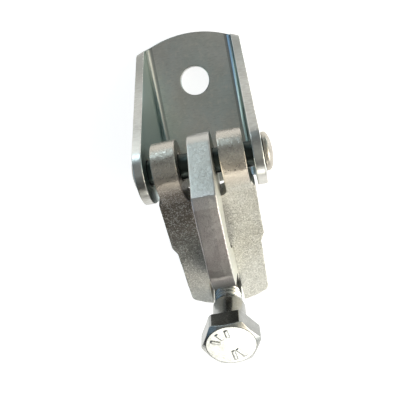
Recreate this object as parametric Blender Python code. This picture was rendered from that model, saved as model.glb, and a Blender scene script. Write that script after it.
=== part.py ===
"""Hinged rope clamp on a deep U-bracket.

Frame: X along the hinge pin, +Y towards the arched end of the bracket, +Z out of
the bracket. The origin lies on the back face of the bracket's web, under the pin.
Lengths below are in millimetres and are turned into metres when a mesh is made.
"""
import math

import bmesh
import bpy
from mathutils import Matrix, Vector

MM = 0.001
GAP = 0.3                       # clearance kept between pieces that touch
MARGIN = 1.0                    # how far a cutter overruns the piece it cuts
OVERLAP = 0.1                   # how deep joined solids sink into each other
ROUND_STEPS = 48                # sides of a full turn

# --- U-bracket ---------------------------------------------------------------
PLATE = 3.0                     # sheet thickness
INNER_WIDTH = 32.0              # between the flanges
BEND_INNER = 2.0                # inside radius of the two bends
PIN_HEIGHT = 39.2               # pin axis above the back of the web
FLANGE_END_R = 9.7              # rounding of the flanges about the pin
FLANGE_SLOPE = math.radians(47.0)
ARCH_END = 47.0                 # farthest point of the arched end
ARCH_R = 38.0
ARCH_X = -1.0                   # centre of the arch, a little off the middle
CORNER_R = 8.0                  # rounding of the flanges' low corners
CORNER_CLEAR = 4.0              # how far that corner's cutter stands clear of it
HOLE_Y = 29.5
HOLE_R = 5.25

# --- hinge pin ---------------------------------------------------------------
PIN_R = 4.0
PIN_HEAD_R = 6.0
PIN_HEAD_RIM = 0.8
PIN_HEAD_RISE = 2.8
PIN_TAIL_R = 5.6
PIN_TAIL_RISE = 1.8

# --- jaws, in the jaw frame: L runs down the jaw from the pin, n stands out ---
JAW_TILT = math.radians(23.0)   # droop of the jaws below level
BORE_R = PIN_R + 0.25
REAR_FRONT = 5.3                # front face of the rear jaw
REAR_BACK = -2.7                # back face of the rear jaw
KNUCKLE_R = 8.8
KNUCKLE_HALF = 13.9             # half the width over the knuckles
FORK_HALF = 6.2                 # half the gap between the knuckles
FORK_FLOOR = 9.45
FORK_FILLET = 1.7
CREASE_L = 9.2                  # where the knuckles meet the plate's front
HEEL_L = 10.5                   # where the knuckles meet the plate's back
SHOULDER_HALF = 15.25           # half the width of the upper body
SHOULDER_FROM = 5.0             # where the knuckles begin to widen
SHOULDER_START = 9.0
STEP_START = 25.8
STEP_END = 28.6
LOWER_HALF = 13.95
FOOT_HALF = 13.5
FOOT_INSET = 4.0                # from the foot's corner to where its arc is first sampled
FOOT_CORNER_R = 2.5
FOOT_ARC_R = 25.0
FOOT_ARC_L = 27.9               # centre of the foot's arc
SLOT_X = -0.9
SLOT_HALF = 5.3
SLOT_END_L = 44.0               # centre of the slot's round end

# --- front lever -------------------------------------------------------------
LEVER_X = 0.9
LEVER_HALF = 3.5
LEVER_KNUCKLE_R = 9.1
LEVER_BACK = REAR_FRONT + GAP
KNEE = (0.0, 20.8)
KNEE_LOW = (3.1, 22.4)
KNEE_R = 0.8
BEVEL_WIDTH = 2.4
BEVEL_DEPTH = 0.8
BROW = (25.3, 25.2)
BROW_R = 4.0
NOSE = (30.1, 23.6)
NOSE_R = 1.2
TOE = (37.0, 9.1)
TOE_END = 40.5
SADDLE_L = 44.3                 # bolt axis that would sit right home in the toe
SADDLE_R = 5.2
GROOVE_FROM = 12.0
GROOVE_TO = 28.0
GROOVE_DEPTH = 7.0

# --- bolt, washer and nut, on the bolt's own axis ----------------------------
BOLT_X = -1.0
BOLT_L = 50.3
BOLT_R = 4.9
SHANK_LENGTH = 40.0
SHOULDER_R = 5.7
CONE_TOP = 10.65
CONE_FOOT = 8.7
HEAD_SEAT = 20.9
HEAD_HEIGHT = 6.2
ACROSS_FLATS = 17.0
HEAD_FLAT_R = 7.9
HEAD_CHAMFER = math.radians(30.0)
CORNER_REACH = 9.55             # the forged corners stop at this radius
HEAD_TURN = math.radians(2.3)
TIP_CHAMFER = 1.0
WASHER_R = 10.0
WASHER_BORE_R = 5.3
WASHER_THICK = 2.0
NUT_HEIGHT = 8.4
NUT_BORE_R = 5.1

ZINC_SHEET = (0.42, 0.41, 0.37)
ZINC_CAST = (0.50, 0.48, 0.43)
ZINC_DARK = (0.36, 0.32, 0.29)
ZINC_BRIGHT = (0.62, 0.61, 0.56)


def clear_scene():
    for item in list(bpy.data.objects):
        bpy.data.objects.remove(item, do_unlink=True)


def metal(name, colour, roughness):
    material = bpy.data.materials.new(name)
    material.use_nodes = True
    shader = material.node_tree.nodes["Principled BSDF"]
    shader.inputs["Base Color"].default_value = (*colour, 1.0)
    shader.inputs["Roughness"].default_value = roughness
    shader.inputs["Metallic"].default_value = 0.9
    material.diffuse_color = (*colour, 1.0)
    return material


def axis_empty(name, location, tilt):
    empty = bpy.data.objects.new(name, None)
    empty.location = [value * MM for value in location]
    empty.rotation_euler = (tilt, 0.0, 0.0)
    bpy.context.collection.objects.link(empty)
    return empty


# --- outlines ----------------------------------------------------------------
def arc(centre, radius, start, end, steps):
    """Points of an arc in the plane, angles in degrees, both ends included."""
    points = []
    for index in range(steps + 1):
        angle = math.radians(start + (end - start) * index / steps)
        points.append((centre[0] + radius * math.cos(angle), centre[1] + radius * math.sin(angle)))
    return points


def fillet(before, corner, after, radius, steps=5):
    """Points of a rounding of the given radius between two straight edges."""
    corner = Vector(corner)
    back = (Vector(before) - corner).normalized()
    ahead = (Vector(after) - corner).normalized()
    half = back.angle(ahead) / 2.0
    reach = radius / math.tan(half)
    centre = corner + (back + ahead).normalized() * radius / math.sin(half)
    first = corner + back * reach - centre
    last = corner + ahead * reach - centre
    sweep = first.angle_signed(last)
    points = []
    for index in range(steps + 1):
        turn = Matrix.Rotation(-sweep * index / steps, 2)
        points.append(tuple(centre + turn @ first))
    return points


def to_world_plane(points):
    """Jaw outline (L, n) as (y, z) of the jaw frame, whose -Y runs down the jaw."""
    return [(-length, out) for length, out in points]


# --- solids ------------------------------------------------------------------
def object_from(name, mesh_builder, parent=None):
    mesh = bpy.data.meshes.new(name)
    builder = bmesh.new()
    mesh_builder(builder)
    bmesh.ops.recalc_face_normals(builder, faces=builder.faces)
    builder.to_mesh(mesh)
    builder.free()
    item = bpy.data.objects.new(name, mesh)
    bpy.context.collection.objects.link(item)
    item.parent = parent
    return item


def prism(name, outline, axis, low, high, parent=None, drift=(0.0, 0.0, 0.0)):
    """Closed outline pushed along X, Y or Z from low to high, and sideways by drift."""
    def place(u, v, w):
        spots = {"X": (w, u, v), "Y": (u, w, v), "Z": (u, v, w)}
        return [value * MM for value in spots[axis]]

    def build(builder):
        start = [builder.verts.new(place(u, v, low)) for u, v in outline]
        face = builder.faces.new(start)
        made = bmesh.ops.extrude_face_region(builder, geom=[face])
        moved = [item for item in made["geom"] if isinstance(item, bmesh.types.BMVert)]
        shift = Vector(place(0.0, 0.0, high)) - Vector(place(0.0, 0.0, low)) + Vector(drift) * MM
        bmesh.ops.translate(builder, verts=moved, vec=shift)

    return object_from(name, build, parent)


def loft(name, sections, parent=None):
    """Skins (x, outline) sections, every outline having the same number of (y, z) points."""
    def build(builder):
        rings = [[builder.verts.new((x * MM, y * MM, z * MM)) for y, z in outline]
                 for x, outline in sections]
        builder.faces.new(rings[0])
        builder.faces.new(rings[-1])
        for ring, after in zip(rings, rings[1:]):
            for k, corner in enumerate(ring):
                j = (k + 1) % len(ring)
                builder.faces.new([corner, ring[j], after[j], after[k]])

    return object_from(name, build, parent)


def lathe(name, profile, axis, centre, parent=None, steps=ROUND_STEPS):
    """Profile of (radius, height) pairs turned about an axis parallel to X or Z."""
    def place(radius, height, angle):
        u, v = radius * math.cos(angle), radius * math.sin(angle)
        spot = (height, u, v) if axis == "X" else (u, v, height)
        return [(value + offset) * MM for value, offset in zip(spot, centre)]

    def build(builder):
        rings = []
        for radius, height in profile:
            if radius == 0.0:
                rings.append([builder.verts.new(place(0.0, height, 0.0))])
                continue
            rings.append([builder.verts.new(place(radius, height, math.tau * k / steps))
                          for k in range(steps)])
        for lower, upper in zip(rings, rings[1:]):
            for k in range(steps):
                after = (k + 1) % steps
                corners = [lower[k % len(lower)], lower[after % len(lower)],
                           upper[after % len(upper)], upper[k % len(upper)]]
                unique = list(dict.fromkeys(corners))
                builder.faces.new(unique)

    return object_from(name, build, parent)


def cut(item, operation, tool):
    """Boolean whose tool stays in the file as a wire guide."""
    modifier = item.modifiers.new(operation.lower(), "BOOLEAN")
    modifier.operation = operation
    modifier.solver = "EXACT"
    modifier.object = tool
    tool.hide_render = True
    tool.display_type = "WIRE"


def finish(item, material):
    item.data.materials.append(material)
    item.data.shade_smooth()
    item.data.set_sharp_from_angle(angle=math.radians(30.0))


def rod(name, radius, low, high, axis, centre=(0.0, 0.0, 0.0), parent=None):
    return lathe(name, [(0.0, low), (radius, low), (radius, high), (0.0, high)], axis, centre, parent)


# --- pieces ------------------------------------------------------------------
def flange_top(y):
    """Height of a flange's sloping edge."""
    return PIN_HEIGHT + FLANGE_END_R / math.cos(FLANGE_SLOPE) - y * math.tan(FLANGE_SLOPE)


def arch_y(x):
    """How far the arched end reaches at x."""
    return ARCH_END - ARCH_R + math.sqrt(ARCH_R ** 2 - (x - ARCH_X) ** 2)


def flange_corner(bracket, sign):
    """Rounds the corner where one flange's slope meets the arched end, along that corner's slant."""
    outer = INNER_WIDTH / 2.0 + PLATE
    inner = INNER_WIDTH / 2.0
    slant = (arch_y(sign * inner) - arch_y(sign * outer)) / PLATE
    start, stop = sorted((sign * (inner - MARGIN), sign * (outer + MARGIN)))
    end = arch_y(sign * outer) + slant * (outer - abs(start))
    corner = (end, flange_top(end))
    before = end - CORNER_R
    rounding = fillet((before, flange_top(before)), corner, (end, 0.0), CORNER_R, 8)
    beyond = end + CORNER_CLEAR
    outline = rounding + [(beyond, rounding[-1][1]), (beyond, corner[1]), (end, corner[1] + CORNER_CLEAR)]
    along = slant * (abs(start) - abs(stop))
    label = "left" if sign < 0 else "right"
    cut(bracket, "DIFFERENCE", prism(f"{label}_corner_guide", outline, "X", start, stop,
                                     drift=(0.0, along, -along * math.tan(FLANGE_SLOPE))))


def u_bracket(material):
    half = INNER_WIDTH / 2.0
    outer = half + PLATE
    bend_outer = BEND_INNER + PLATE
    top = PIN_HEIGHT + FLANGE_END_R + MARGIN
    bend_z = bend_outer
    channel = [(-outer, top), (-outer, bend_z)]
    channel += arc((-outer + bend_outer, bend_z), bend_outer, 180, 270, 8)[1:]
    channel += arc((outer - bend_outer, bend_z), bend_outer, 270, 360, 8)
    channel += [(outer, top), (half, top)]
    channel += arc((half - BEND_INNER, bend_z), BEND_INNER, 0, -90, 6)
    channel += arc((BEND_INNER - half, bend_z), BEND_INNER, 270, 180, 6)
    channel += [(-half, top)]
    bracket = prism("u_bracket", channel, "Y", -FLANGE_END_R - MARGIN, ARCH_END + MARGIN)

    foot_z = -MARGIN
    tangent = 90.0 - math.degrees(FLANGE_SLOPE)
    far = ARCH_END + 2.0 * MARGIN
    far_z = flange_top(far)
    side = [(-FLANGE_END_R, foot_z)]
    side += arc((0.0, PIN_HEIGHT), FLANGE_END_R, 180, tangent, 24)
    side += [(far, far_z), (far, foot_z)]
    cut(bracket, "INTERSECT", prism("bracket_side_guide", side, "X", -outer - MARGIN, outer + MARGIN))

    reach = outer + MARGIN
    centre = (ARCH_X, ARCH_END - ARCH_R)
    right_end = math.degrees(math.acos((reach - ARCH_X) / ARCH_R))
    left_end = math.degrees(math.acos((-reach - ARCH_X) / ARCH_R))
    plan = arc(centre, ARCH_R, right_end, left_end, 32)
    low_y = -FLANGE_END_R - 2.0 * MARGIN
    plan += [(-reach, low_y), (reach, low_y)]
    cut(bracket, "INTERSECT", prism("bracket_plan_guide", plan, "Z", foot_z, top + MARGIN))
    for sign in (-1.0, 1.0):
        flange_corner(bracket, sign)

    cut(bracket, "DIFFERENCE", rod("hole_guide", HOLE_R, -MARGIN, PLATE + MARGIN, "Z",
                                   (0.0, HOLE_Y, 0.0)))
    cut(bracket, "DIFFERENCE", rod("pin_hole_guide", BORE_R, -reach, reach, "X",
                                   (0.0, 0.0, PIN_HEIGHT)))
    finish(bracket, material)
    return bracket


def dome(radius, rim, rise, steps=6):
    """Profile of a low domed head, from its seat to its crown."""
    height = rise - rim
    sphere = (radius * radius + height * height) / (2.0 * height)
    points = [(radius, 0.0), (radius, rim)]
    for index in range(1, steps):
        r = radius * (1.0 - index / steps)
        points.append((r, rim + math.sqrt(sphere * sphere - r * r) - (sphere - height)))
    return points + [(0.0, rise)]


def hinge_pin(material):
    seat = INNER_WIDTH / 2.0 + PLATE + GAP
    tail = dome(PIN_TAIL_R, PIN_HEAD_RIM, PIN_TAIL_RISE)
    head = dome(PIN_HEAD_R, PIN_HEAD_RIM, PIN_HEAD_RISE)
    profile = [(r, -seat - h) for r, h in reversed(tail)]
    profile += [(PIN_R, -seat), (PIN_R, seat)]
    profile += [(r, seat + h) for r, h in head]
    finish(lathe("hinge_pin", profile, "X", (0.0, 0.0, PIN_HEIGHT)), material)


def rear_jaw_outline():
    """Plan of the rear jaw in (x, L), prongs, foot arc and open slot included."""
    def foot(x):
        return FOOT_ARC_L + math.sqrt(FOOT_ARC_R ** 2 - x * x)

    def side(sign):
        corner = (sign * FOOT_HALF, foot(FOOT_HALF))
        inset = FOOT_HALF - FOOT_INSET
        points = [(sign * FORK_HALF, 0.0), (sign * KNUCKLE_HALF, 0.0)]
        points += [(sign * KNUCKLE_HALF, SHOULDER_FROM)]
        points += [(sign * SHOULDER_HALF, SHOULDER_START), (sign * SHOULDER_HALF, STEP_START)]
        points += [(sign * LOWER_HALF, STEP_END)]
        points += fillet(points[-1], corner, (sign * inset, foot(inset)), FOOT_CORNER_R)
        edge = SLOT_X + sign * SLOT_HALF
        xs = [sign * inset + (edge - sign * inset) * k / 4 for k in range(5)]
        points += [(x, foot(x)) for x in xs]
        return points

    right = side(1.0)
    left = side(-1.0)
    slot_end = arc((SLOT_X, SLOT_END_L), SLOT_HALF, 0, -180, 20)
    outline = right + slot_end + left[::-1]
    ends = [(-FORK_HALF, 0.0), (-FORK_HALF, FORK_FLOOR), (FORK_HALF, FORK_FLOOR), (FORK_HALF, 0.0)]
    outline += fillet(*ends[:3], FORK_FILLET) + fillet(*ends[1:], FORK_FILLET)
    return outline


def tangent_angle(point, radius, side):
    """Angle, in degrees, where a line from the point touches the circle about the pin."""
    bearing = math.degrees(math.atan2(point[1], point[0]))
    return bearing + side * math.degrees(math.acos(radius / math.hypot(*point)))


def cheek_outline():
    """Side of a knuckle in the jaw's (y, z), with its blends into the plate."""
    front, back = (-CREASE_L, REAR_FRONT - OVERLAP), (-HEEL_L, REAR_BACK)
    start = tangent_angle(back, KNUCKLE_R, 1.0)
    end = tangent_angle(front, KNUCKLE_R, -1.0)
    return arc((0.0, 0.0), KNUCKLE_R, start - 360.0 if start > end else start, end, 48) + [front, back]


def rear_jaw(parent, material):
    outline = [(x, -length) for x, length in rear_jaw_outline()]
    jaw = prism("rear_jaw", outline, "Z", REAR_BACK, REAR_FRONT, parent)
    for side in (-1.0, 1.0):
        low, high = sorted((side * FORK_HALF, side * KNUCKLE_HALF))
        label = "left" if side < 0 else "right"
        cut(jaw, "UNION", prism(f"{label}_knuckle_guide", cheek_outline(), "X", low, high, parent))
    reach = KNUCKLE_HALF + MARGIN
    cut(jaw, "DIFFERENCE", rod("rear_bore_guide", BORE_R, -reach, reach, "X", parent=parent))
    finish(jaw, material)
    return jaw


def lever_outline(bevel=0.0):
    """Side of the front lever in (L, n), its face below the knee set back by bevel."""
    slope = Vector(KNEE).normalized()
    lean = math.asin(LEVER_KNUCKLE_R / Vector(KNEE).length)
    start = math.degrees(math.atan2(slope.y, slope.x) + math.pi / 2.0 - lean)
    tangent = arc((0.0, 0.0), LEVER_KNUCKLE_R, start, start, 1)[0]
    top = fillet(tangent, KNEE, KNEE_LOW, KNEE_R, 3)
    top += fillet(KNEE, KNEE_LOW, BROW, KNEE_R, 3)
    top += fillet(KNEE_LOW, BROW, NOSE, BROW_R)
    top += fillet(BROW, NOSE, TOE, NOSE_R)
    top = [(length, out - bevel * min(max(length / KNEE_LOW[0], 0.0), 1.0)) for length, out in top]
    toe = [TOE, (TOE_END, TOE[1]), (TOE_END, LEVER_BACK)]
    chord = (GROOVE_TO - GROOVE_FROM) / 2.0
    radius = (chord ** 2 + GROOVE_DEPTH ** 2) / (2.0 * GROOVE_DEPTH)
    centre = ((GROOVE_FROM + GROOVE_TO) / 2.0, LEVER_BACK + GROOVE_DEPTH - radius)
    rim = math.degrees(math.atan2(LEVER_BACK - centre[1], chord))
    groove = arc(centre, radius, rim, 180.0 - rim, 18)
    heel = math.degrees(math.asin(LEVER_BACK / LEVER_KNUCKLE_R))
    knuckle = arc((0.0, 0.0), LEVER_KNUCKLE_R, heel, start - 360.0, 40)
    return top + toe + groove + knuckle


def front_lever(parent, material):
    """Lever whose right front edge carries a wide shallow chamfer below the knee."""
    low, high = LEVER_X - LEVER_HALF, LEVER_X + LEVER_HALF
    full = to_world_plane(lever_outline())
    bevelled = to_world_plane(lever_outline(BEVEL_DEPTH))
    lever = loft("front_lever", [(low, full), (high - BEVEL_WIDTH, full), (high, bevelled)], parent)
    cut(lever, "DIFFERENCE", rod("lever_bore_guide", BORE_R, low - MARGIN, high + MARGIN, "X",
                                 parent=parent))
    cut(lever, "DIFFERENCE", rod("saddle_guide", SADDLE_R, 0.0, TOE[1] + MARGIN, "Z",
                                 (BOLT_X, -SADDLE_L, 0.0), parent))
    finish(lever, material)
    return lever


def hexagon(turn=0.0):
    radius = ACROSS_FLATS / 2.0 / math.cos(math.pi / 6.0)
    start = math.degrees(turn)
    return arc((0.0, 0.0), radius, start, start + 300.0, 5)


def chamfer_tool(name, low, high, parent, both_ends):
    """Turned blank whose cone takes the corners off a hexagon."""
    wide = CORNER_REACH
    fall = (wide - HEAD_FLAT_R) * math.tan(HEAD_CHAMFER)
    profile = [(0.0, high), (HEAD_FLAT_R, high), (wide, high - fall)]
    if both_ends:
        profile += [(wide, low + fall), (HEAD_FLAT_R, low)]
    else:
        profile += [(wide, low - MARGIN)]
    profile += [(0.0, profile[-1][1])]
    return lathe(name, profile, "Z", (0.0, 0.0, 0.0), parent)


def clamp_bolt(parent, material):
    top = HEAD_SEAT + HEAD_HEIGHT
    tip = HEAD_SEAT - SHANK_LENGTH
    bolt = prism("clamp_bolt", hexagon(HEAD_TURN), "Z", HEAD_SEAT, top, parent)
    cut(bolt, "INTERSECT", chamfer_tool("head_chamfer_guide", HEAD_SEAT, top, parent, False))
    shank = [(0.0, tip), (BOLT_R - TIP_CHAMFER, tip), (BOLT_R, tip + TIP_CHAMFER)]
    shank += [(BOLT_R, CONE_FOOT), (SHOULDER_R, CONE_TOP)]
    shank += [(SHOULDER_R, HEAD_SEAT + MARGIN), (0.0, HEAD_SEAT + MARGIN)]
    cut(bolt, "UNION", lathe("shank_guide", shank, "Z", (0.0, 0.0, 0.0), parent))
    finish(bolt, material)
    return bolt


def bolt_washer(parent, material):
    high = REAR_BACK - GAP
    low = high - WASHER_THICK
    profile = [(WASHER_BORE_R, low), (WASHER_R, low), (WASHER_R, high), (WASHER_BORE_R, high)]
    profile += [profile[0]]
    washer = lathe("bolt_washer", profile, "Z", (0.0, 0.0, 0.0), parent)
    builder = bmesh.new()
    builder.from_mesh(washer.data)
    bmesh.ops.remove_doubles(builder, verts=builder.verts, dist=1e-6)
    bmesh.ops.recalc_face_normals(builder, faces=builder.faces)
    builder.to_mesh(washer.data)
    builder.free()
    finish(washer, material)
    return washer


def hex_nut(parent, material):
    high = REAR_BACK - GAP - WASHER_THICK - GAP
    low = high - NUT_HEIGHT
    nut = prism("hex_nut", hexagon(), "Z", low, high, parent)
    cut(nut, "INTERSECT", chamfer_tool("nut_chamfer_guide", low, high, parent, True))
    cut(nut, "DIFFERENCE", rod("nut_bore_guide", NUT_BORE_R, low - MARGIN, high + MARGIN, "Z",
                               parent=parent))
    finish(nut, material)
    return nut


def main():
    clear_scene()
    sheet = metal("zinc_sheet", ZINC_SHEET, 0.35)
    cast = metal("zinc_casting", ZINC_CAST, 0.65)
    dark_cast = metal("zinc_lever", ZINC_DARK, 0.6)
    bright = metal("zinc_bolt", ZINC_BRIGHT, 0.2)
    pin_metal = metal("zinc_pin", ZINC_BRIGHT, 0.3)
    washer_metal = metal("zinc_washer", ZINC_BRIGHT, 0.25)
    nut_metal = metal("zinc_nut", ZINC_BRIGHT, 0.22)

    u_bracket(sheet)
    hinge_pin(pin_metal)
    jaw_axis = axis_empty("jaw_axis", (0.0, 0.0, PIN_HEIGHT), JAW_TILT)
    rear_jaw(jaw_axis, cast)
    front_lever(jaw_axis, dark_cast)
    bolt_axis = axis_empty("bolt_axis", (BOLT_X, -BOLT_L, 0.0), 0.0)
    bolt_axis.parent = jaw_axis
    clamp_bolt(bolt_axis, bright)
    bolt_washer(bolt_axis, washer_metal)
    hex_nut(bolt_axis, nut_metal)


main()
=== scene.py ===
"""Looks of the hinged rope clamp: finished meshes, metals, floor, light and camera."""
import math

import bmesh
import bpy
import numpy as np
from mathutils import Matrix, Vector, noise


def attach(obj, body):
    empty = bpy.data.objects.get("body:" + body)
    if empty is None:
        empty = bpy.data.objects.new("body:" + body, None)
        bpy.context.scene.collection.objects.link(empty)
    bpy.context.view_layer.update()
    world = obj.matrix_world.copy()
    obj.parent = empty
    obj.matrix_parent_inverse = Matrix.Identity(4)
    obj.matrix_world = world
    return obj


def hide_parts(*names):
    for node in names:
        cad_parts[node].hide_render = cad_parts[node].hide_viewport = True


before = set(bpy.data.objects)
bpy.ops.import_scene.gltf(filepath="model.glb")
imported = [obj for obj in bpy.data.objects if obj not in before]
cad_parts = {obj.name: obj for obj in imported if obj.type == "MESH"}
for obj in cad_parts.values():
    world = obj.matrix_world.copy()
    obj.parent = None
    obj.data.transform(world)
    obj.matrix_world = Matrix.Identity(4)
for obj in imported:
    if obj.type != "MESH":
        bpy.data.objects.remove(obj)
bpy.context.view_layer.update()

# Pieces are shaped in millimetres and brought to metres at the end.
MM = 0.001
GAP = 0.3                       # clearance kept between pieces that touch
MARGIN = 1.0                    # how far a cutter overruns the piece it cuts
OVERLAP = 0.1                   # how deep joined solids sink into each other

# The jaw's frame has X along the pin and -Y down the jaw; the bolt's lies on its axis.
PIN_HEIGHT = 39.2
JAW_TILT = math.radians(23.0)
BOLT_X = -1.0
BOLT_L = 50.3
ROW = Matrix.Scale(MM, 4)
JAW = ROW @ Matrix.Translation((0.0, 0.0, PIN_HEIGHT)) @ Matrix.Rotation(JAW_TILT, 4, "X")
BOLT = JAW @ Matrix.Translation((BOLT_X, -BOLT_L, 0.0))


# --- outlines ----------------------------------------------------------------
def arc(centre, radius, start, end, steps):
    """Points of an arc, angles in degrees, both ends included."""
    turns = [math.radians(start + (end - start) * k / steps) for k in range(steps + 1)]
    return [(centre[0] + radius * math.cos(t), centre[1] + radius * math.sin(t)) for t in turns]


def fillet(before, corner, after, radius, steps=8):
    """Rounding of the given radius between two straight edges."""
    corner = Vector(corner)
    back = (Vector(before) - corner).normalized()
    ahead = (Vector(after) - corner).normalized()
    half = back.angle(ahead) / 2.0
    reach = radius / math.tan(half)
    centre = corner + (back + ahead).normalized() * radius / math.sin(half)
    first = corner + back * reach - centre
    sweep = first.angle_signed(corner + ahead * reach - centre)
    return [tuple(centre + Matrix.Rotation(-sweep * k / steps, 2) @ first) for k in range(steps + 1)]


# --- solids ------------------------------------------------------------------
# Noise rarely passes this share of its depth, so a surface sunk by it stays inside the CAD.
NOISE_REACH = 0.7
SEED_STEP = Vector((7.3, 3.1, 5.7))


def solid(name, build):
    """New object whose mesh is made by build(builder)."""
    mesh = bpy.data.meshes.new(name)
    builder = bmesh.new()
    build(builder)
    bmesh.ops.recalc_face_normals(builder, faces=builder.faces)
    builder.to_mesh(mesh)
    builder.free()
    item = bpy.data.objects.new(name, mesh)
    bpy.context.collection.objects.link(item)
    return item


def prism(name, outline, axis, low, high, drift=(0.0, 0.0, 0.0)):
    """Closed outline pushed along X, Y or Z, and sideways by drift."""
    def at(u, v, w):
        return {"X": (w, u, v), "Y": (u, w, v), "Z": (u, v, w)}[axis]

    def build(builder):
        face = builder.faces.new([builder.verts.new(at(u, v, low)) for u, v in outline])
        made = bmesh.ops.extrude_face_region(builder, geom=[face])["geom"]
        moved = [item for item in made if isinstance(item, bmesh.types.BMVert)]
        shift = Vector(at(0, 0, high - low)) + Vector(drift)
        bmesh.ops.translate(builder, verts=moved, vec=shift)

    return solid(name, build)


def loft(name, sections):
    """Skins (x, outline) sections whose outlines all have the same number of points."""
    def build(builder):
        rings = [[builder.verts.new((x, y, z)) for y, z in outline] for x, outline in sections]
        builder.faces.new(rings[0])
        builder.faces.new(rings[-1])
        for ring, after in zip(rings, rings[1:]):
            for k, corner in enumerate(ring):
                j = (k + 1) % len(ring)
                builder.faces.new([corner, ring[j], after[j], after[k]])

    return solid(name, build)


def turned(name, profile, axis="Z", centre=(0.0, 0.0, 0.0), steps=96, wave=None):
    """Profile of (radius, height) turned about an axis; wave(angle, height) adds to the radius."""
    def build(builder):
        rings = []
        for radius, height in profile:
            count = 1 if radius == 0.0 else steps
            ring = []
            for k in range(count):
                angle = math.tau * k / steps
                r = radius + (wave(angle, height) if wave and count > 1 else 0.0)
                u, v = r * math.cos(angle), r * math.sin(angle)
                spot = (height, u, v) if axis == "X" else (u, v, height)
                ring.append(builder.verts.new([p + c for p, c in zip(spot, centre)]))
            rings.append(ring)
        for lower, upper in zip(rings, rings[1:]):
            for k in range(steps):
                j = (k + 1) % steps
                around = [lower[k % len(lower)], lower[j % len(lower)],
                          upper[j % len(upper)], upper[k % len(upper)]]
                builder.faces.new(list(dict.fromkeys(around)))

    return solid(name, build)


def rod(radius, low, high, axis, centre=(0.0, 0.0, 0.0)):
    """Plain cylinder, used to drill holes."""
    profile = [(0.0, low), (radius, low), (radius, high), (0.0, high)]
    return turned("rod", profile, axis, centre)


def settle(item):
    """Turns what the modifiers make into the object's own mesh."""
    graph = bpy.context.evaluated_depsgraph_get()
    made = bpy.data.meshes.new_from_object(item.evaluated_get(graph))
    old = item.data
    item.modifiers.clear()
    item.data = made
    bpy.data.meshes.remove(old)


def combine(item, tool, operation="DIFFERENCE"):
    """Boolean of item with tool, which is used up."""
    modifier = item.modifiers.new(operation.lower(), "BOOLEAN")
    modifier.operation = operation
    modifier.solver = "EXACT"
    modifier.object = tool
    settle(item)
    bpy.data.objects.remove(tool, do_unlink=True)


def soften(item, voxel, passes):
    """Even small faces all over, with every edge rounded by a few smoothing passes."""
    modifier = item.modifiers.new("remesh", "REMESH")
    modifier.mode = "VOXEL"
    modifier.voxel_size = voxel
    modifier.use_smooth_shade = True
    smooth = item.modifiers.new("smooth", "SMOOTH")
    smooth.factor = 0.5
    smooth.iterations = passes
    settle(item)


def roughen(item, layers):
    """Pushes the surface in by noise; layers are (size, depth, seed) in millimetres."""
    mesh = item.data
    count = len(mesh.vertices)
    spots = np.empty(count * 3)
    mesh.vertices.foreach_get("co", spots)
    spots = spots.reshape(count, 3)
    normals = np.empty(count * 3)
    mesh.vertices.foreach_get("normal", normals)
    normals = normals.reshape(count, 3)
    push = np.full(count, -NOISE_REACH * sum(depth for size, depth, seed in layers))
    for size, depth, seed in layers:
        offset = seed * SEED_STEP
        push += depth * np.array([noise.noise(Vector(p) / size + offset) for p in spots.tolist()])
    spots += normals * push[:, None]
    mesh.vertices.foreach_set("co", spots.ravel())
    mesh.update()


def place(item, matrix, body, node, material):
    """Brings a finished piece into the frame, on its body, in place of its CAD node."""
    item.data.transform(matrix)
    item.data.shade_smooth()
    item.data.materials.clear()
    item.data.materials.append(material)
    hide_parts(node)
    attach(item, body)


# --- metals ------------------------------------------------------------------
class Wiring:
    """Short way to lay out a node tree, where a value is a socket, a number or a tuple."""
    def __init__(self, tree):
        self.tree = tree

    def add(self, kind, **settings):
        node = self.tree.nodes.new(kind)
        for key, value in settings.items():
            setattr(node, key, value)
        return node

    def give(self, target, value):
        """Links a socket to an input, or sets the input to a number or a tuple."""
        if isinstance(value, bpy.types.NodeSocket):
            self.tree.links.new(value, target)
        else:
            target.default_value = value

    def math(self, operation, *values):
        node = self.add("ShaderNodeMath", operation=operation)
        for target, value in zip(node.inputs, values):
            self.give(target, value)
        return node.outputs["Value"]

    def vector(self, operation, *values):
        node = self.add("ShaderNodeVectorMath", operation=operation)
        for target, value in zip(node.inputs, values):
            self.give(target, value)
        return node.outputs["Vector"]

    def scaled(self, vector, scale):
        node = self.add("ShaderNodeVectorMath", operation="SCALE")
        self.give(node.inputs["Vector"], vector)
        self.give(node.inputs["Scale"], scale)
        return node.outputs["Vector"]

    def along(self, source, axis):
        """Length of a vector along an axis."""
        node = self.add("ShaderNodeVectorMath", operation="DOT_PRODUCT")
        self.give(node.inputs[0], source)
        self.give(node.inputs[1], axis)
        return node.outputs["Value"]


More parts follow.
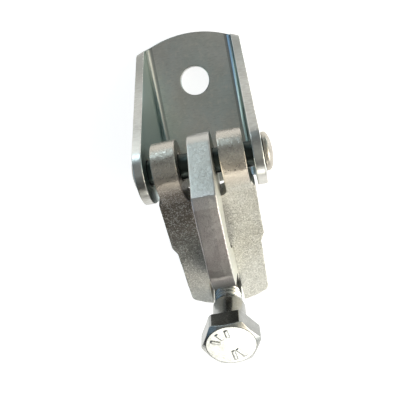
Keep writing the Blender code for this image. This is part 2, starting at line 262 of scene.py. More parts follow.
class Nodes(Wiring):
    """Wiring of one material, whose positions are in metres and whose grain sizes in millimetres."""
    def __init__(self, name):
        self.material = bpy.data.materials.new(name)
        self.material.use_nodes = True
        super().__init__(self.material.node_tree)
        self.shader = self.tree.nodes["Principled BSDF"]
        coordinates = self.add("ShaderNodeTexCoord")
        self.spot = coordinates.outputs["Object"]
        self.facing = coordinates.outputs["Normal"]

    def times(self, first, second):
        return self.math("MULTIPLY", first, second)

    def size(self, source):
        return self.math("ABSOLUTE", source)

    def axes(self, source):
        """X, Y and Z sockets of a vector."""
        node = self.add("ShaderNodeSeparateXYZ")
        self.give(node.inputs[0], source)
        return node.outputs["X"], node.outputs["Y"], node.outputs["Z"]

    def red(self, colour):
        """First channel of a colour, here one random number for each crystal."""
        node = self.add("ShaderNodeSeparateColor")
        self.give(node.inputs[0], colour)
        return node.outputs["Red"]

    def remap(self, source, before, after):
        """The range before turned into the range after, level beyond its ends."""
        node = self.add("ShaderNodeMapRange", clamp=True)
        for target, value in zip(node.inputs, (source, *before, *after)):
            self.give(target, value)
        return node.outputs["Result"]

    def ramp(self, source, low, high):
        """0 at low and 1 at high."""
        return self.remap(source, (low, high), (0.0, 1.0))

    def between(self, source, low, high):
        """low where source is 0 and high where it is 1."""
        return self.remap(source, (0.0, 1.0), (low, high))

    def mix(self, amount, first, second):
        """Mix of two colours, each a socket or an RGB tuple."""
        node = self.add("ShaderNodeMix", data_type="RGBA")
        factor, a, b = node.inputs[0], node.inputs[6], node.inputs[7]
        self.give(factor, amount)
        for target, colour in ((a, first), (b, second)):
            self.give(target, (*colour, 1.0) if isinstance(colour, tuple) else colour)
        return node.outputs[2]

    def tint(self, colour, other, mask, amount=1.0):
        """colour turned towards other where mask is 1, by the given amount."""
        if amount < 1.0:
            mask = self.times(mask, amount)
        return self.mix(mask, colour, other)

    def noise(self, size, detail, rough, stretch=(1.0, 1.0, 1.0)):
        """Noise whose grain is about size millimetres; stretch scales the axes."""
        mapping = self.add("ShaderNodeMapping")
        self.give(mapping.inputs["Scale"], stretch)
        self.give(mapping.inputs["Vector"], self.spot)
        node = self.add("ShaderNodeTexNoise")
        self.give(node.inputs["Scale"], 1.0 / (size * MM))
        self.give(node.inputs["Detail"], detail)
        self.give(node.inputs["Roughness"], rough)
        self.give(node.inputs["Vector"], mapping.outputs["Vector"])
        return node.outputs["Fac"]

    def cells(self, size):
        """Random colour for each small crystal of about size millimetres."""
        node = self.add("ShaderNodeTexVoronoi", feature="F1")
        self.give(node.inputs["Scale"], 1.0 / (size * MM))
        self.give(node.inputs["Vector"], self.spot)
        return node.outputs["Color"]

    def facets(self, cells, tilt, normal):
        """Normal that leans a different way on every crystal."""
        lean = self.scaled(self.vector("SUBTRACT", cells, (0.5, 0.5, 0.5)), tilt)
        return self.vector("NORMALIZE", self.vector("ADD", normal, lean))

    def edges(self, low, high):
        """1 on worn outer edges."""
        return self.ramp(self.add("ShaderNodeNewGeometry").outputs["Pointiness"], low, high)

    def bump(self, height, strength, depth):
        """Normal bent by a height from 0 to 1 that stands for depth millimetres."""
        node = self.add("ShaderNodeBump")
        self.give(node.inputs["Strength"], strength)
        self.give(node.inputs["Distance"], depth * MM)
        self.give(node.inputs["Height"], height)
        return node.outputs["Normal"]

    def finish(self, colour, roughness, normal, metallic):
        """Material with its shader wired up."""
        self.give(self.shader.inputs["Base Color"], colour)
        self.give(self.shader.inputs["Roughness"], roughness)
        self.give(self.shader.inputs["Normal"], normal)
        self.give(self.shader.inputs["Metallic"], metallic)
        return self.material


def sheet_metal():
    """Satin zinc sheet with streaked sheared edges, a painted highlight band on those edges, painted
    shade in the inner bends, a painted teal reflection on the flanges' inner faces and a painted bluish
    highlight along the right bend.
    """
    n = Nodes("zinc_sheet")
    normal_x, normal_y, normal_z = n.axes(n.facing)
    x, y, z = n.axes(n.spot)
    sideways = n.size(normal_x)

    cloud = n.noise(11.0, 5.0, 0.6)
    stained = n.noise(24.0, 3.0, 0.5)
    rolled = n.noise(0.5, 4.0, 0.6, stretch=(0.25, 1.0, 1.0))
    smear = n.noise(1.6, 4.0, 0.7)
    colour = n.mix(n.ramp(cloud, 0.35, 0.65), (0.63, 0.62, 0.57), (0.72, 0.72, 0.69))
    colour = n.tint(colour, (0.52, 0.63, 0.62), n.ramp(stained, 0.45, 0.62), 0.45)
    colour = n.tint(colour, (0.80, 0.77, 0.71), n.ramp(smear, 0.50, 0.80))
    colour = n.tint(colour, (0.36, 0.34, 0.32), n.ramp(rolled, 0.52, 0.70), 0.30)

    # Sheared edges: streaked, with a painted highlight band round the pin's level, and darker towards the
    # arched end.
    # The painted highlight reaches lower on the right flange, at positive X, than on the left.
    raised = n.math("GREATER_THAN", z, (BEND_OUTER + 0.5) * MM)
    ended = n.math("GREATER_THAN", n.size(normal_y), 0.5)
    cut = n.times(n.ramp(sideways, 0.6, 0.3), n.math("MAXIMUM", raised, ended))
    torn = n.noise(0.7, 4.0, 0.7, stretch=(0.3, 1.0, 1.0))
    lowered = n.times(n.math("GREATER_THAN", x, 0.0), 9.0 * MM)
    height = n.math("ADD", y, lowered)
    painted_highlight_band = n.times(n.ramp(height, 14.0 * MM, 6.0 * MM), n.ramp(height, -1.0 * MM, 3.0 * MM))
    sheared = n.mix(n.ramp(torn, 0.35, 0.65), (0.36, 0.33, 0.30), (0.54, 0.53, 0.49))
    # Painted highlight: near-white on the sheared edges round the pin's level.
    sheared = n.tint(sheared, (0.95, 0.93, 0.88), painted_highlight_band, 0.8)
    sheared = n.tint(sheared, (0.08, 0.08, 0.07), n.ramp(y, 22.0 * MM, 36.0 * MM), 0.75)
    colour = n.tint(colour, sheared, cut, 0.75)

    # Painted shade in the inner bends, a painted teal reflection on the flanges' inner faces, and a
    # painted bluish highlight along the right bend.
    beside = n.math("GREATER_THAN", n.size(x), (OUTER_HALF - BEND_OUTER - 0.4) * MM)
    folded = n.times(beside, n.math("LESS_THAN", z, (BEND_OUTER + 0.2) * MM))
    folded = n.times(folded, n.ramp(normal_z, 0.02, 0.10))
    # Painted shade darkening the inner bends.
    colour = n.tint(colour, (0.20, 0.21, 0.21), folded, 0.5)
    # Painted teal reflection of the shaded web on the flanges' inner faces.
    inside = n.math("LESS_THAN", n.size(x), MID_SHEET * MM)
    inside = n.times(inside, n.ramp(sideways, 0.90, 0.98))
    colour = n.tint(colour, (0.45, 0.60, 0.60), inside, 0.7)
    # Painted bluish highlight along the right bend's inner curve.
    painted_blue_highlight = n.times(n.ramp(normal_x, -0.25, -0.40), n.ramp(normal_x, -0.80, -0.65))
    colour = n.tint(colour, (0.80, 0.93, 1.0), n.times(painted_blue_highlight, folded))

    colour = n.tint(colour, (0.86, 0.84, 0.80), n.edges(0.54, 0.64), 0.5)
    normal = n.facets(n.cells(0.3), 0.025, n.bump(rolled, 0.35, 0.015))
    return n.finish(colour, n.between(smear, 0.24, 0.38), normal, 1.0)


def down_the_jaw(n):
    """Distance below the pin, along the jaw at rest, in metres."""
    towards = JAW.to_3x3().normalized() @ Vector((0.0, -1.0, 0.0))
    return n.math("SUBTRACT", n.along(n.spot, towards), JAW.translation.dot(towards))


def jaw_metal():
    """Grainy plated forging, worn smoother round the pin, with painted shade on the upper plate, painted
    light towards the foot and a painted brown shadow of the lever on its left half.
    """
    n = Nodes("zinc_casting")
    down = down_the_jaw(n)
    x = n.axes(n.spot)[0]
    cloud = n.noise(8.0, 5.0, 0.6)
    crystals = n.cells(0.3)
    grain = n.red(crystals)
    pits = n.noise(0.34, 2.0, 0.7)
    worn = n.ramp(down, 7.0 * MM, 0.0)
    rubbed = n.times(worn, n.ramp(down, -5.0 * MM, 1.0 * MM))
    colour = n.mix(n.ramp(cloud, 0.35, 0.65), (0.60, 0.585, 0.525), (0.735, 0.73, 0.69))
    colour = n.tint(colour, (1.0, 0.98, 0.92), n.ramp(grain, 0.45, 1.0), 0.55)
    colour = n.tint(colour, (0.12, 0.10, 0.08), n.ramp(pits, 0.55, 0.64), 0.7)
    colour = n.tint(colour, (0.62, 0.55, 0.46), worn, 0.7)
    colour = n.tint(colour, (1.0, 0.85, 0.70), rubbed, 0.7)
    # Painted shade on the upper plate below the knuckles, and painted light growing towards the foot.
    colour = n.tint(colour, (0.40, 0.38, 0.35), n.ramp(down, 26.0 * MM, 10.0 * MM), 0.3)
    colour = n.tint(colour, (1.0, 0.99, 0.93), n.ramp(down, 30.0 * MM, 46.0 * MM), 0.7)

    # Painted brown shadow of the lever on the left half, fading towards the foot; the brightest crystals
    # show through.
    painted_lever_shadow = n.times(n.ramp(x, 1.0 * MM, -3.0 * MM), n.ramp(down, 47.0 * MM, 16.0 * MM))
    painted_lever_shadow = n.times(painted_lever_shadow, n.between(n.ramp(down, 0.0, 5.0 * MM), 0.1, 0.93))
    painted_lever_shadow = n.times(painted_lever_shadow, n.between(n.ramp(grain, 0.60, 0.9), 1.0, 0.35))
    colour = n.tint(colour, (0.145, 0.112, 0.085), painted_lever_shadow)

    colour = n.tint(colour, (0.78, 0.74, 0.66), n.edges(0.53, 0.62), 0.6)
    roughness = n.math("SUBTRACT", n.between(grain, 0.34, 0.52), n.times(worn, 0.08))
    normal = n.facets(crystals, n.between(worn, 0.45, 0.10), n.bump(pits, 0.5, 0.04))
    return n.finish(colour, roughness, normal, n.between(worn, 0.35, 0.9))


def lever_steel():
    """Finer, smoother plated forging with a faint purple cast, painted shade darkening it towards its
    nose and a painted highlight on its right flank.
    """
    n = Nodes("zinc_lever")
    down = down_the_jaw(n)
    cloud = n.noise(6.0, 5.0, 0.6)
    crystals = n.cells(0.24)
    pits = n.noise(0.3, 2.0, 0.7)
    painted_lit_flank = n.ramp(n.axes(n.facing)[0], 0.6, 0.95)
    colour = n.mix(n.ramp(cloud, 0.35, 0.65), (0.64, 0.56, 0.55), (0.76, 0.71, 0.68))
    colour = n.tint(colour, (0.85, 0.82, 0.78), n.red(crystals), 0.25)
    colour = n.tint(colour, (0.10, 0.08, 0.07), n.ramp(pits, 0.56, 0.66), 0.35)
    colour = n.tint(colour, (0.66, 0.56, 0.48), n.edges(0.56, 0.70), 0.6)
    # Painted shade towards the nose, next to the bolt head.
    colour = n.tint(colour, (0.09, 0.09, 0.08), n.ramp(down, 16.5 * MM, 29.0 * MM), 0.92)
    # Painted light: the flank facing +X, towards the key light, is near-white.
    colour = n.tint(colour, (0.96, 0.96, 0.89), painted_lit_flank)
    colour = n.tint(colour, (0.48, 0.48, 0.44), n.ramp(down, 1.0 * MM, -1.0 * MM), 0.8)
    normal = n.facets(crystals, 0.13, n.bump(pits, 0.3, 0.02))
    return n.finish(colour, n.between(cloud, 0.30, 0.40), normal, 0.95)


def bright_metal(name, tone, rough, painted_shade_within=None, axis=None):
    """Plated steel, with painted shade on faces turned away from axis and a near-black painted shade
    within the given distance of X = 0.
    """
    n = Nodes(name)
    cloud = n.noise(2.5, 5.0, 0.65)
    crystals = n.cells(0.35)
    darker = tuple(value * 0.72 for value in tone)
    colour = n.mix(n.ramp(cloud, 0.35, 0.65), darker, tone)
    colour = n.tint(colour, (0.25, 0.23, 0.20), n.between(n.red(crystals), 0.0, 0.25))
    colour = n.tint(colour, (0.86, 0.84, 0.79), n.edges(0.54, 0.66))
    if axis:
        # Painted shade on the faces turned away from the axis.
        beside = n.ramp(n.size(n.along(n.facing, axis)), 0.8, 0.4)
        colour = n.tint(colour, (0.27, 0.28, 0.28), beside, 0.5)
    if painted_shade_within:
        # Near-black painted shade on the part round X = 0.
        inside = n.math("LESS_THAN", n.size(n.axes(n.spot)[0]), painted_shade_within * MM)
        colour = n.tint(colour, (0.05, 0.06, 0.055), inside)
    normal = n.facets(crystals, 0.03, n.bump(cloud, 0.15, 0.02))
    return n.finish(colour, n.between(cloud, rough - 0.04, rough + 0.10), normal, 1.0)


# --- bracket -----------------------------------------------------------------
PLATE = 3.0
INNER_HALF = 16.0
OUTER_HALF = INNER_HALF + PLATE
MID_SHEET = INNER_HALF + PLATE / 2.0
BEND_INNER = 2.0
BEND_OUTER = BEND_INNER + PLATE
FLANGE_END_R = 9.7
FLANGE_SLOPE = math.radians(47.0)
FLANGE_CUT = PIN_HEIGHT + FLANGE_END_R + MARGIN     # flanges are this tall before they are cut
ARCH_END = 47.0
ARCH_R = 38.0
ARCH_X = -1.0
CORNER_R = 8.0
CORNER_CLEAR = 4.0
HOLE_Y = 29.5
HOLE_R = 5.25
BORE_R = 4.25


def flange_top(y):
    """Height of a flange's sloping edge."""
    return PIN_HEIGHT + FLANGE_END_R / math.cos(FLANGE_SLOPE) - y * math.tan(FLANGE_SLOPE)


def arch_y(x):
    """How far the arched end reaches at x."""
    return ARCH_END - ARCH_R + math.sqrt(ARCH_R ** 2 - (x - ARCH_X) ** 2)


def bent_section():
    """(x, z) section of the bent sheet."""
    centre = OUTER_HALF - BEND_OUTER
    outline = [(-OUTER_HALF, FLANGE_CUT)]
    outline += arc((-centre, BEND_OUTER), BEND_OUTER, 180, 270, 14)
    outline += arc((centre, BEND_OUTER), BEND_OUTER, 270, 360, 14)
    outline += [(OUTER_HALF, FLANGE_CUT), (INNER_HALF, FLANGE_CUT)]
    outline += arc((centre, BEND_OUTER), BEND_INNER, 0, -90, 10)
    outline += arc((-centre, BEND_OUTER), BEND_INNER, 270, 180, 10)
    return outline + [(-INNER_HALF, FLANGE_CUT)]


def side_outline():
    """(y, z) outline of both flanges, round about the pin and then sloping down."""
    far = ARCH_END + 2.0 * MARGIN
    outline = [(-FLANGE_END_R, -MARGIN)]
    outline += arc((0.0, PIN_HEIGHT), FLANGE_END_R, 180, 90.0 - math.degrees(FLANGE_SLOPE), 40)
    return outline + [(far, flange_top(far)), (far, -MARGIN)]


def plan_outline(reach):
    """(x, y) outline of the whole bracket, arched at one end."""
    near = -FLANGE_END_R - 2.0 * MARGIN
    ends = [math.degrees(math.acos((x - ARCH_X) / ARCH_R)) for x in (reach, -reach)]
    outline = arc((ARCH_X, ARCH_END - ARCH_R), ARCH_R, *ends, 60)
    return outline + [(-reach, near), (reach, near)]


def round_corner(item, sign):
    """Rounds the corner where one flange's slope meets the arched end, along that corner's slant."""
    slant = (arch_y(sign * INNER_HALF) - arch_y(sign * OUTER_HALF)) / PLATE
    start, stop = sorted((sign * (INNER_HALF - MARGIN / 2.0), sign * (OUTER_HALF + MARGIN)))
    end = arch_y(sign * OUTER_HALF) + slant * (OUTER_HALF - abs(start))
    clear = end + CORNER_CLEAR
    upslope = end - CORNER_R
    corner = (end, flange_top(end))
    outline = fillet((upslope, flange_top(upslope)), corner, (end, 0.0), CORNER_R, 12)
    outline += [(clear, outline[-1][1]), (clear, corner[1]), (end, corner[1] + CORNER_CLEAR)]
    along = slant * (abs(start) - abs(stop))
    drift = (0.0, along, -along * math.tan(FLANGE_SLOPE))
    combine(item, prism("corner", outline, "X", start, stop, drift))


def bracket():
    """Bent sheet, cut to its side and plan outlines and drilled."""
    reach = OUTER_HALF + MARGIN
    item = prism("bracket_sheet", bent_section(), "Y", -FLANGE_END_R - MARGIN, ARCH_END + MARGIN)
    combine(item, prism("side", side_outline(), "X", -reach, reach), "INTERSECT")
    combine(item, prism("plan", plan_outline(reach), "Z", -MARGIN, FLANGE_CUT + MARGIN), "INTERSECT")
    for sign in (-1.0, 1.0):
        round_corner(item, sign)
    combine(item, rod(HOLE_R, -MARGIN, PLATE + MARGIN, "Z", (0.0, HOLE_Y, 0.0)))
    combine(item, rod(BORE_R, -reach, reach, "X", (0.0, 0.0, PIN_HEIGHT)))
    soften(item, voxel=0.22, passes=5)
    roughen(item, [(9.0, 0.05, 1), (1.2, 0.012, 2)])
    return item


# --- cross pin ---------------------------------------------------------------
PIN_R = 4.0


def dome(radius, rim, rise, first, step):
    """Profile of a domed head above a straight rim; the dome's angles go from first by step."""
    turns = [math.radians(angle) for angle in range(first, 90, step)]
    curve = [(radius * math.cos(t), rim + rise * math.sin(t)) for t in turns]
    return [(radius, 0.0), (radius, rim)] + curve + [(0.0, rim + rise)]


def pin():
    """Pin with a domed head on the right and a lower riveted one on the left."""
    seat = OUTER_HALF + GAP
    head = dome(radius=6.0, rim=0.9, rise=1.9, first=8, step=6)
    tail = dome(radius=5.6, rim=0.7, rise=1.1, first=10, step=8)
    profile = [(radius, -seat - height) for radius, height in reversed(tail)]
    profile += [(PIN_R, -seat), (PIN_R, seat)]
    profile += [(radius, seat + height) for radius, height in head]
    item = turned("cross_pin", profile, "X", (0.0, 0.0, PIN_HEIGHT))
    soften(item, voxel=0.16, passes=3)
    roughen(item, [(3.0, 0.10, 3), (0.8, 0.03, 4)])
    return item


# --- jaws, where L runs down the jaw from the pin and n stands out of it --------
REAR_FRONT = 5.3
REAR_BACK = -2.7
KNUCKLE_R = 8.8
KNUCKLE_HALF = 13.9             # half the width over the knuckles
FORK_HALF = 6.2                 # half the gap between the knuckles
FORK_FLOOR = 9.45
FORK_FILLET = 1.7
CREASE_L = 9.2                  # where the knuckles meet the plate's front
HEEL_L = 10.5                   # where the knuckles meet the plate's back
SHOULDER_HALF = 15.25
SHOULDER_FROM = 5.0             # where the knuckles begin to widen
SHOULDER_START = 9.0
STEP_START = 25.8
STEP_END = 28.6
LOWER_HALF = 13.95
FOOT_HALF = 13.5
FOOT_START = 9.5                # half the width over which the foot is an arc
FOOT_CORNER_R = 2.5
FOOT_ARC_R = 25.0
FOOT_ARC_L = 27.9               # centre of the foot's arc
SLOT_X = -0.9
SLOT_HALF = 5.3
SLOT_END_L = 44.0               # centre of the slot's round end
LEVER_KNUCKLE_R = 9.1
LEVER_BACK = REAR_FRONT + GAP
LEVER_SIDES = (-2.6, 4.4)       # the lever stands a little to the right of the middle
BEVEL_FROM = 2.0
BEVEL_DEPTH = 0.25
KNEE = (0.0, 20.8)
KNEE_LOW = (3.1, 22.4)
KNEE_R = 0.8
BROW = (25.3, 25.2)
BROW_R = 4.0
NOSE = (30.1, 23.6)
NOSE_R = 1.2
TOE = (37.0, 9.1)
TOE_END = 40.5
SADDLE_L = 44.3
SADDLE_R = 5.2
GROOVE_L = 20.0
GROOVE_HALF = 8.0
GROOVE_DEPTH = 7.0


def tangent_angle(point, radius, side):
    """Angle, in degrees, where a line from the point touches the circle about the pin."""
    bearing = math.degrees(math.atan2(point[1], point[0]))
    return bearing + side * math.degrees(math.acos(radius / math.hypot(*point)))


def foot(x):
    """How far down the jaw its arched foot reaches at x."""
    return FOOT_ARC_L + math.sqrt(FOOT_ARC_R ** 2 - x * x)


def jaw_side(sign):
    """One side of the jaw in (x, L), from its fork round the shoulder and foot to its slot."""
    corner, start, slot = sign * FOOT_HALF, sign * FOOT_START, SLOT_X + sign * SLOT_HALF
    points = [(sign * FORK_HALF, 0.0), (sign * KNUCKLE_HALF, 0.0), (sign * KNUCKLE_HALF, SHOULDER_FROM)]
    points += [(sign * SHOULDER_HALF, SHOULDER_START), (sign * SHOULDER_HALF, STEP_START)]
    points.append((sign * LOWER_HALF, STEP_END))
    points += fillet(points[-1], (corner, foot(corner)), (start, foot(start)), FOOT_CORNER_R)
    xs = [start + (slot - start) * k / 6 for k in range(7)]
    return points + [(x, foot(x)) for x in xs]


def jaw_outline():
    """Plan of the jaw in its own (x, y)."""
    outline = jaw_side(1.0) + arc((SLOT_X, SLOT_END_L), SLOT_HALF, 0, -180, 30) + jaw_side(-1.0)[::-1]
    fork = [(-FORK_HALF, 0.0), (-FORK_HALF, FORK_FLOOR), (FORK_HALF, FORK_FLOOR), (FORK_HALF, 0.0)]
    outline += fillet(*fork[:3], FORK_FILLET) + fillet(*fork[1:], FORK_FILLET)
    return [(x, -length) for x, length in outline]


def knuckle_outline():
    """Side of a knuckle in the jaw's (y, z), with its blends into the plate."""
    front, back = (-CREASE_L, REAR_FRONT - OVERLAP), (-HEEL_L, REAR_BACK)
    start, end = tangent_angle(back, KNUCKLE_R, 1.0), tangent_angle(front, KNUCKLE_R, -1.0)
    if start > end:
        start -= 360.0
    return arc((0.0, 0.0), KNUCKLE_R, start, end, 90) + [front, back]


def jaw_plate():
    """Slotted plate with a knuckle on each side of its fork, bored for the pin."""
    item = prism("jaw_plate", jaw_outline(), "Z", REAR_BACK, REAR_FRONT)
    for low, high in ((-KNUCKLE_HALF, -FORK_HALF), (FORK_HALF, KNUCKLE_HALF)):
        combine(item, prism("knuckle", knuckle_outline(), "X", low, high), "UNION")
    combine(item, rod(BORE_R, -SHOULDER_HALF - MARGIN, SHOULDER_HALF + MARGIN, "X"))
    soften(item, voxel=0.22, passes=7)
    roughen(item, [(6.0, 0.08, 11), (1.5, 0.02, 12), (0.6, 0.012, 13)])
    return item


def lever_outline(bevel=0.0):
    """Side of the lever in its (y, z), its face below the knee set back by bevel."""
    slope = math.degrees(math.atan2(KNEE[1], KNEE[0]))
    start = slope + 90.0 - math.degrees(math.asin(LEVER_KNUCKLE_R / math.hypot(*KNEE)))
    tangent = arc((0.0, 0.0), LEVER_KNUCKLE_R, start, start, 1)[0]
    top = fillet(tangent, KNEE, KNEE_LOW, KNEE_R) + fillet(KNEE, KNEE_LOW, BROW, KNEE_R)
    top += fillet(KNEE_LOW, BROW, NOSE, BROW_R) + fillet(BROW, NOSE, TOE, NOSE_R)
    top = [(length, out - bevel * min(max(length / KNEE_LOW[0], 0.0), 1.0)) for length, out in top]
    bow = (GROOVE_HALF ** 2 + GROOVE_DEPTH ** 2) / (2.0 * GROOVE_DEPTH)
    rim = math.degrees(math.asin((bow - GROOVE_DEPTH) / bow))
    groove = arc((GROOVE_L, LEVER_BACK + GROOVE_DEPTH - bow), bow, rim, 180.0 - rim, 30)
    heel = math.degrees(math.asin(LEVER_BACK / LEVER_KNUCKLE_R))
    knuckle = arc((0.0, 0.0), LEVER_KNUCKLE_R, heel, start - 360.0, 60)
    outline = top + [TOE, (TOE_END, TOE[1]), (TOE_END, LEVER_BACK)] + groove + knuckle
    return [(-length, out) for length, out in outline]


def lever():
    """Lever with a shallow bevel down its right front edge and a saddle for the bolt."""
    left, right = LEVER_SIDES
    full = lever_outline()
    item = loft("clamp_lever", [(left, full), (BEVEL_FROM, full), (right, lever_outline(BEVEL_DEPTH))])
    combine(item, rod(BORE_R, left - MARGIN, right + MARGIN, "X"))
    combine(item, rod(SADDLE_R, LEVER_BACK - MARGIN, TOE[1] + MARGIN, "Z", (BOLT_X, -SADDLE_L, 0.0)))
    soften(item, voxel=0.2, passes=5)
    roughen(item, [(5.0, 0.04, 21), (1.4, 0.012, 22), (0.6, 0.008, 23)])
    return item


# --- bolt, washer and nut, on the bolt's own axis -------------------------------
PITCH = 1.5
CREST = 4.85
ROOT = 4.05
FLANK = 0.3125                  # share of the pitch on one side of a thread
ROOT_FROM = 0.4375              # share of the pitch from a crest's middle to the root
TIP = -19.0
TIP_R = 3.4
TIP_SLOPE = 0.9
CONE_FOOT = 8.7
CONE_TOP = 10.6
SHOULDER_R = 5.65
HEAD_SEAT = 20.9
HEAD_TOP = 26.85
HEAD_TURN = 2.3
HALF_FLATS = 8.5
HEAD_FLAT_R = 7.9
CORNER_REACH = 9.55             # the forged corners stop at this radius
HEAD_CHAMFER = math.radians(30.0)
DASHES = ((95, 3.6), (125, 3.6), (155, 3.6), (275, 2.6), (305, 2.6))    # turn and inner end
DASH_OUTER = 6.4
DASH_HALF = 0.4
DASH_RISE = 0.2
WASHER_R = 10.0
WASHER_BORE_R = 5.3
WASHER_THICK = 2.0
NUT_BORE_R = 5.1
NUT_HEIGHT = 8.4


def tooth(turn):
    """Height from 0 in the root to 1 on the crest of a 60 degree thread."""
    return min(max((ROOT_FROM - abs(turn % 1.0 - 0.5)) / FLANK, 0.0), 1.0)


def thread_wave(low, high, rise):
    """Wave that adds the thread to a rod of root radius, growing over rise at both ends."""
    def wave(angle, height):
        fade = min(max((height - low) / rise, 0.0), 1.0) * min(max((high - height) / rise, 0.0), 1.0)
        return fade * (CREST - ROOT) * tooth(height / PITCH - angle / math.tau)
    return wave


def hexagon(turn):
    """Corners of the head or nut, turned by an angle in degrees."""
    return arc((0.0, 0.0), HALF_FLATS / math.cos(math.pi / 6.0), turn, turn + 300.0, 5)


def cone_blank(low, high, both_ends):
    """Turned blank whose cones take the corners off a hexagon."""
    fall = (CORNER_REACH - HEAD_FLAT_R) * math.tan(HEAD_CHAMFER)
    profile = [(0.0, high), (HEAD_FLAT_R, high), (CORNER_REACH, high - fall)]
    if both_ends:
        profile += [(CORNER_REACH, low + fall), (HEAD_FLAT_R, low), (0.0, low)]
    else:
        profile += [(CORNER_REACH, low - MARGIN), (0.0, low - MARGIN)]
    return turned("blank", profile)


def dash(turn, inner):
    """Short raised radial bar on the bolt's head."""
    outline = [(inner, -DASH_HALF), (DASH_OUTER, -DASH_HALF), (DASH_OUTER, DASH_HALF), (inner, DASH_HALF)]
    item = prism("dash", outline, "Z", HEAD_TOP - MARGIN / 2.0, HEAD_TOP + DASH_RISE)
    item.data.transform(Matrix.Rotation(math.radians(turn), 4, "Z"))
    return item


def bolt_rows():
    """Profile of the shank: bevelled tip, threaded stretch, cone, plain shoulder and flared neck."""
    rows = [(0.0, TIP), (TIP_R, TIP)]
    height = TIP + 0.2
    while height < CONE_FOOT:
        rows.append((min(ROOT, TIP_R + (height - TIP) * TIP_SLOPE), height))
        height += PITCH / 16
    rows += [(4.3, 8.75), (4.9, 9.0), (SHOULDER_R, CONE_TOP), (SHOULDER_R, 20.0)]
    return rows + [(6.1, 20.6), (6.8, 21.2), (0.0, 21.2)]


def bolt():
    """Threaded bolt whose hexagonal head carries raised dashes."""
    item = turned("clamp_bolt_steel", bolt_rows(), wave=thread_wave(TIP + 0.3, CONE_FOOT + 0.2, 1.0))
    head = prism("head", hexagon(HEAD_TURN), "Z", HEAD_SEAT, HEAD_TOP)
    combine(head, cone_blank(HEAD_SEAT, HEAD_TOP, False), "INTERSECT")
    for turn, inner in DASHES:
        combine(head, dash(turn, inner), "UNION")
    combine(item, head, "UNION")
    soften(item, voxel=0.13, passes=2)
    roughen(item, [(3.0, 0.03, 31), (0.8, 0.006, 32)])
    return item


def washer():
    """Flat ring behind the jaw plate, whose closed profile is welded where it meets itself."""
    high = REAR_BACK - GAP
    low = high - WASHER_THICK
    corners = [(WASHER_BORE_R, low), (WASHER_R, low), (WASHER_R, high), (WASHER_BORE_R, high)]
    item = turned("plain_washer", corners + corners[:1], steps=120)
    builder = bmesh.new()
    builder.from_mesh(item.data)
    bmesh.ops.remove_doubles(builder, verts=builder.verts, dist=1e-4)
    bmesh.ops.recalc_face_normals(builder, faces=builder.faces)
    builder.to_mesh(item.data)
    builder.free()
    soften(item, voxel=0.18, passes=3)
    roughen(item, [(2.5, 0.05, 41)])
    return item


def nut():
    """Hex nut with both ends chamfered, behind the washer."""
    high = REAR_BACK - WASHER_THICK - 2.0 * GAP
    low = high - NUT_HEIGHT
    item = prism("steel_nut", hexagon(0.0), "Z", low, high)
    combine(item, cone_blank(low, high, True), "INTERSECT")
    combine(item, rod(NUT_BORE_R, low - MARGIN, high + MARGIN, "Z"))
    soften(item, voxel=0.17, passes=3)
    roughen(item, [(2.5, 0.05, 51)])
    return item


sheet = sheet_metal()
cast = jaw_metal()
lever_metal = lever_steel()
# The bolt, washer and nut get painted shade on faces turned away from the bolt's axis.
bolt_metal = bright_metal("zinc_bolt", (0.68, 0.68, 0.65), 0.20,
                          axis=BOLT.to_3x3().normalized() @ Vector((0.0, 0.0, 1.0)))
# The pin's shaft between the flanges gets near-black painted shade.
pin_metal = bright_metal("zinc_pin", (0.66, 0.61, 0.53), 0.32, painted_shade_within=18.0)

place(bracket(), ROW, "bracket", "u_bracket", sheet)
place(pin(), ROW, "bracket", "hinge_pin", pin_metal)
place(jaw_plate(), JAW, "jaw", "rear_jaw", cast)
place(lever(), JAW, "lever", "front_lever", lever_metal)
place(bolt(), BOLT, "bolt", "clamp_bolt", bolt_metal)
place(washer(), BOLT, "washer", "bolt_washer", bolt_metal)
place(nut(), BOLT, "nut", "hex_nut", bolt_metal)


# --- floor, light and camera ---------------------------------------------------
FLOOR_HALF = 12.0
FLOOR_LEVEL = -0.0002
AMBIENT = (0.02, 0.02, 0.02)
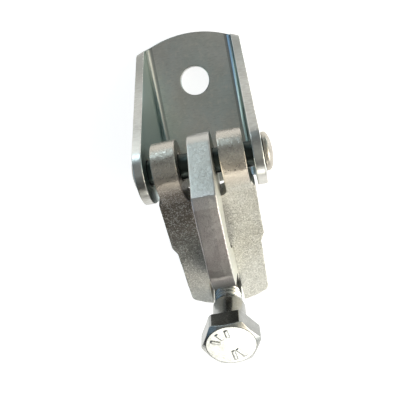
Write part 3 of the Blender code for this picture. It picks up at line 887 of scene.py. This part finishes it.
# Soft lights set into the sky: azimuth and elevation in degrees, tightness and colour.
GLOWS = (
    (0, 90, 8, (0.24, 0.235, 0.22)),
    (60, 52, 8, (0.26, 0.26, 0.26)),
    (0, 52, 8, (0.08, 0.15, 0.14)),
    (180, 36, 14, (0.30, 0.50, 0.70)),
    (30, 18, 14, (0.4, 0.7, 0.7)),
    (330, 18, 14, (3.8, 4.0, 4.0)),
    (345, 35, 20, (4.9, 4.1, 3.1)),
    (108, 16, 60, (3.2, 4.0, 4.4)),
    (268, 21, 90, (4.8, 4.8, 4.5)),
)
SENSOR = 36.0
LENS = 41.89
CAMERA_SPOT = (0.01479, 0.00572, 0.18109)
CAMERA_TURNS = ((0.1944, "Z"), (0.1169, "X"), (-0.1206, "Y"))


def floor():
    """Matt pale floor that the shadows hardly darken."""
    ends = (-FLOOR_HALF, FLOOR_HALF)
    corners = [(ends[0], ends[0]), (ends[1], ends[0]), (ends[1], ends[1]), (ends[0], ends[1])]
    item = solid("floor", lambda b: b.faces.new([b.verts.new((x, y, FLOOR_LEVEL)) for x, y in corners]))
    n = Nodes("pale_floor")
    n.give(n.shader.inputs["Base Color"], (0.60, 0.60, 0.60, 1.0))
    n.give(n.shader.inputs["Roughness"], 0.9)
    n.give(n.shader.inputs["Specular IOR Level"], 0.0)
    n.give(n.shader.inputs["Emission Color"], (1.0, 1.0, 1.0, 1.0))
    n.give(n.shader.inputs["Emission Strength"], 0.82)
    item.data.materials.append(n.material)


def studio():
    """Sky of soft lights, each as bright as exp(tightness * (cosine - 1)) about its direction."""
    world = bpy.data.worlds.new("studio")
    world.use_nodes = True
    n = Wiring(world.node_tree)
    sky = n.add("ShaderNodeTexCoord").outputs["Generated"]
    total = AMBIENT
    for azimuth, elevation, tight, colour in GLOWS:
        across, up = math.radians(azimuth), math.radians(elevation)
        towards = (math.cos(across) * math.cos(up), math.sin(across) * math.cos(up), math.sin(up))
        fall = n.math("MULTIPLY_ADD", n.along(sky, towards), tight, -tight)
        total = n.vector("ADD", total, n.scaled(colour, n.math("EXPONENT", fall)))
    n.give(world.node_tree.nodes["Background"].inputs["Color"], total)
    bpy.context.scene.world = world


def camera():
    """The photo's view, from above the open side of the bracket."""
    data = bpy.data.cameras.new("camera")
    data.sensor_width = SENSOR
    data.lens = LENS
    data.clip_start = 0.005
    item = bpy.data.objects.new("camera", data)
    bpy.context.collection.objects.link(item)
    roll, tip, swing = (Matrix.Rotation(angle, 3, axis) for angle, axis in CAMERA_TURNS)
    look = (roll @ tip @ swing).transposed()
    item.matrix_world = Matrix.Translation(CAMERA_SPOT) @ look.to_4x4()
    bpy.context.scene.camera = item


floor()
studio()
camera()
bpy.context.scene.view_settings.view_transform = "Standard"
